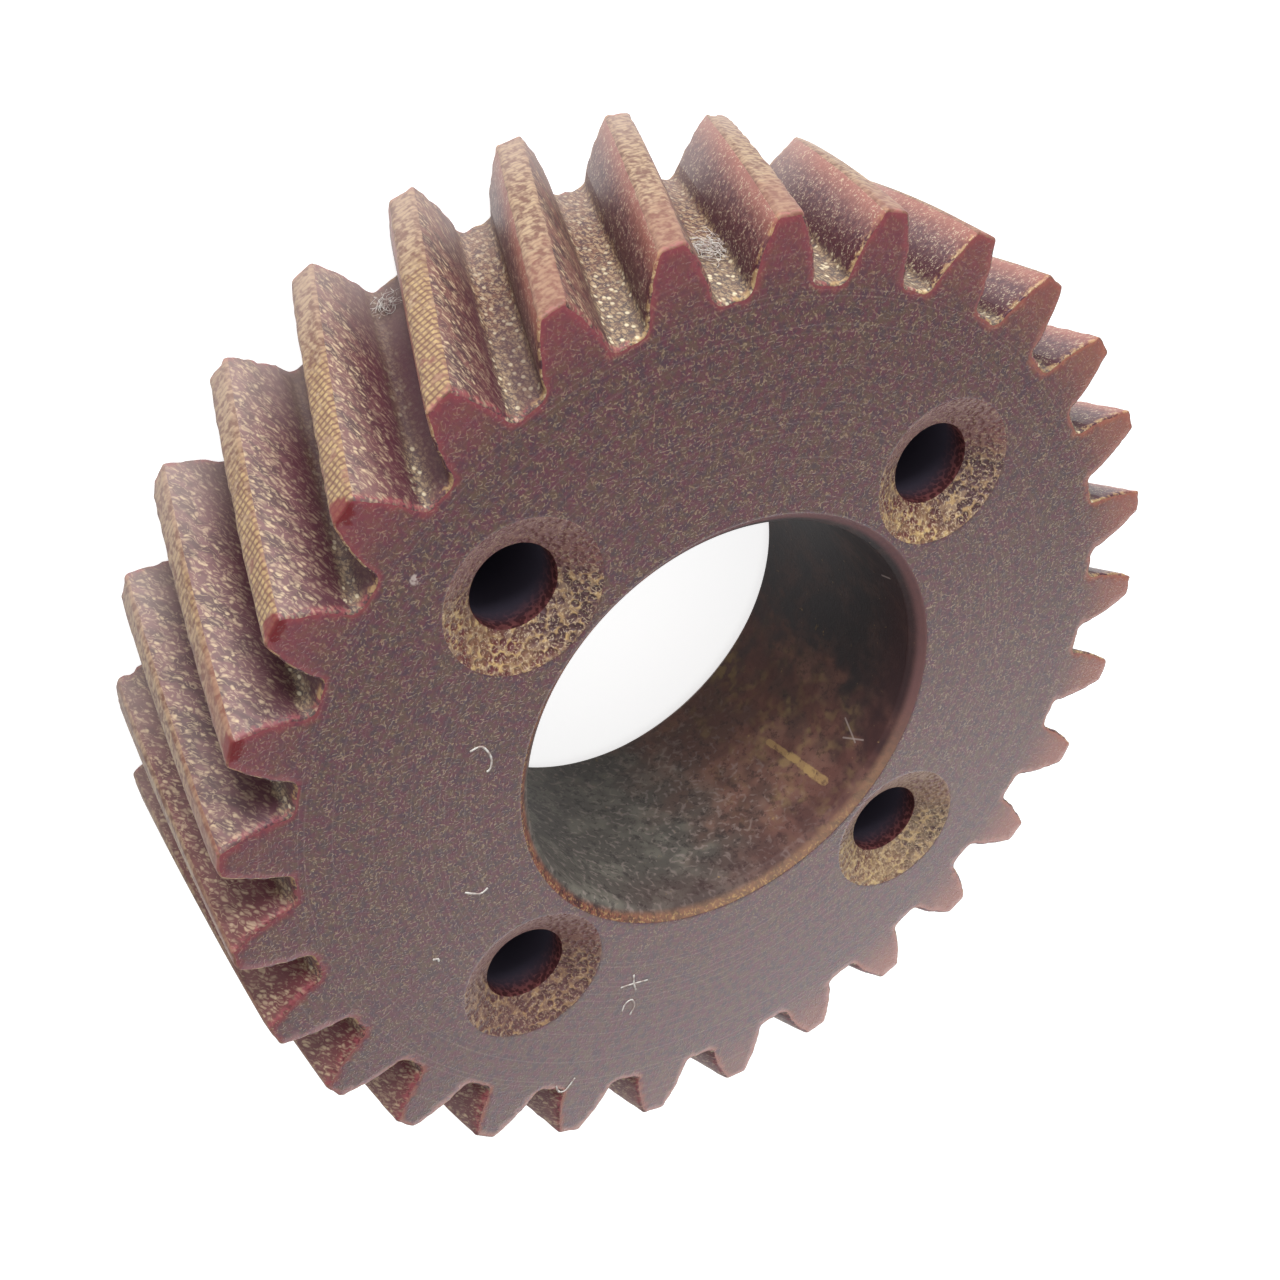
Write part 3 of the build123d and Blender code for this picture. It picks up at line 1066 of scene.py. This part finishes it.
def make_lint(material):
    points, faces = [], []
    height = FACE_WIDTH - FACE_WEAR + FACE_FIBRE[1]
    for flat in LINT_ON_FACE:
        line = [(x, y, height) for x, y in flat]
        add_fibre(points, faces, line, (0, 0, 1), *FACE_FIBRE)
    draw = np.random.default_rng(TUFT_SEED)
    for centre, reach, count in TUFTS:
        for _ in range(count):
            line, outward = tuft_fibre(centre, reach, draw)
            add_fibre(points, faces, line, outward, *TUFT_FIBRE)
    mesh = bpy.data.meshes.new("lint")
    mesh.from_pydata(points, [], faces)
    mesh.materials.append(material)
    mesh.update()
    mesh.shade_smooth()
    lint = bpy.data.objects.new("lint", mesh)
    bpy.context.scene.collection.objects.link(lint)
    return lint


# Surroundings

def white_surroundings():
    """An even white sky, in which smooth surfaces mirror a brighter window."""
    world = bpy.data.worlds.new("white_surroundings")
    world.use_nodes = True
    g = Graph(world.node_tree)
    direction = g.node("ShaderNodeTexCoord", {}).outputs["Generated"]
    in_window = g.smooth(g.dot(direction, WINDOW), *WINDOW_EDGE)
    mirrored = g.node("ShaderNodeLightPath", {}).outputs["Is Glossy Ray"]
    window = g.product(in_window, mirrored, WINDOW_GLARE)
    feeds = {"Color": WHITE, "Strength": g.math("ADD", window, SKY)}
    background = g.node("ShaderNodeBackground", feeds)
    g.node("ShaderNodeOutputWorld", {0: background.outputs[0]})
    bpy.context.scene.world = world


def area_light(name, direction, distance, size, power):
    """A soft square light that stands off from the wheel and faces it."""
    data = bpy.data.lights.new(name, "AREA")
    data.shape = "SQUARE"
    data.size = size * MM
    data.energy = power
    light = bpy.data.objects.new(name, data)
    bpy.context.scene.collection.objects.link(light)
    away = Vector(direction).normalized()
    light.location = (Vector((0, 0, FACE_WIDTH / 2)) + away * distance) * MM
    light.rotation_euler = away.to_track_quat("Z", "Y").to_euler()


def pale_floor():
    """A wide white floor. It glows to the camera, and from below it can be seen through."""
    reach = FLOOR_REACH * MM
    mesh = bpy.data.meshes.new("floor")
    corners = [(-reach, -reach, 0), (reach, -reach, 0), (reach, reach, 0), (-reach, reach, 0)]
    mesh.from_pydata(corners, [], [(0, 1, 2, 3)])
    material, g = new_material("floor")
    path = g.node("ShaderNodeLightPath", {}).outputs
    strength = g.product(path["Is Camera Ray"], FLOOR_GLOW)
    strength = g.math("MULTIPLY_ADD", path["Is Glossy Ray"], FLOOR_GLARE, strength)
    paint = (FLOOR_WHITE, FLOOR_WHITE, FLOOR_WHITE, 1.0)
    diffuse = g.node("ShaderNodeBsdfDiffuse", {"Color": paint})
    glow = g.node("ShaderNodeEmission", {"Color": WHITE, "Strength": strength})
    both = g.node("ShaderNodeAddShader", {0: diffuse.outputs[0], 1: glow.outputs[0]})
    from_below = g.node("ShaderNodeNewGeometry", {}).outputs["Backfacing"]
    clear = g.node("ShaderNodeBsdfTransparent", {})
    feeds = {0: from_below, 1: both.outputs[0], 2: clear.outputs[0]}
    shader = g.node("ShaderNodeMixShader", feeds)
    g.node("ShaderNodeOutputMaterial", {0: shader.outputs[0]})
    mesh.materials.append(material)
    floor = bpy.data.objects.new("floor", mesh)
    floor.location.z = -FLOOR_DROP * MM
    bpy.context.scene.collection.objects.link(floor)


def place_camera():
    data = bpy.data.cameras.new("camera")
    data.lens = CAMERA_LENS
    data.shift_x, data.shift_y = CAMERA_SHIFT
    data.clip_start = CAMERA_NEAR * MM
    camera = bpy.data.objects.new("camera", data)
    camera.location = Vector(CAMERA_PLACE) * MM
    camera.rotation_euler = [math.radians(angle) for angle in CAMERA_TURN]
    bpy.context.scene.collection.objects.link(camera)
    bpy.context.scene.camera = camera


wheel = make_wheel([
    face_material(),
    teeth_material("laminate_land", ("land",), roughness=0.6),
    teeth_material("laminate_worn_flank", ("worn",), roughness=0.5),
    teeth_material("laminate_rough_flank", ("rough",), roughness=0.6),
    teeth_material("laminate_root", ("rough", "worn", "root"), roughness=0.7),
    bore_material(),
    cone_material(),
    hole_material(),
])
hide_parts("worm_wheel")
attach(wheel, "root")
lint = make_lint(lint_material())
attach(lint, "root")

white_surroundings()
area_light("key", KEY_DIRECTION, KEY_DISTANCE, KEY_SIZE, KEY_WATTS)
pale_floor()
place_camera()
bpy.context.scene.view_settings.view_transform = "Standard"
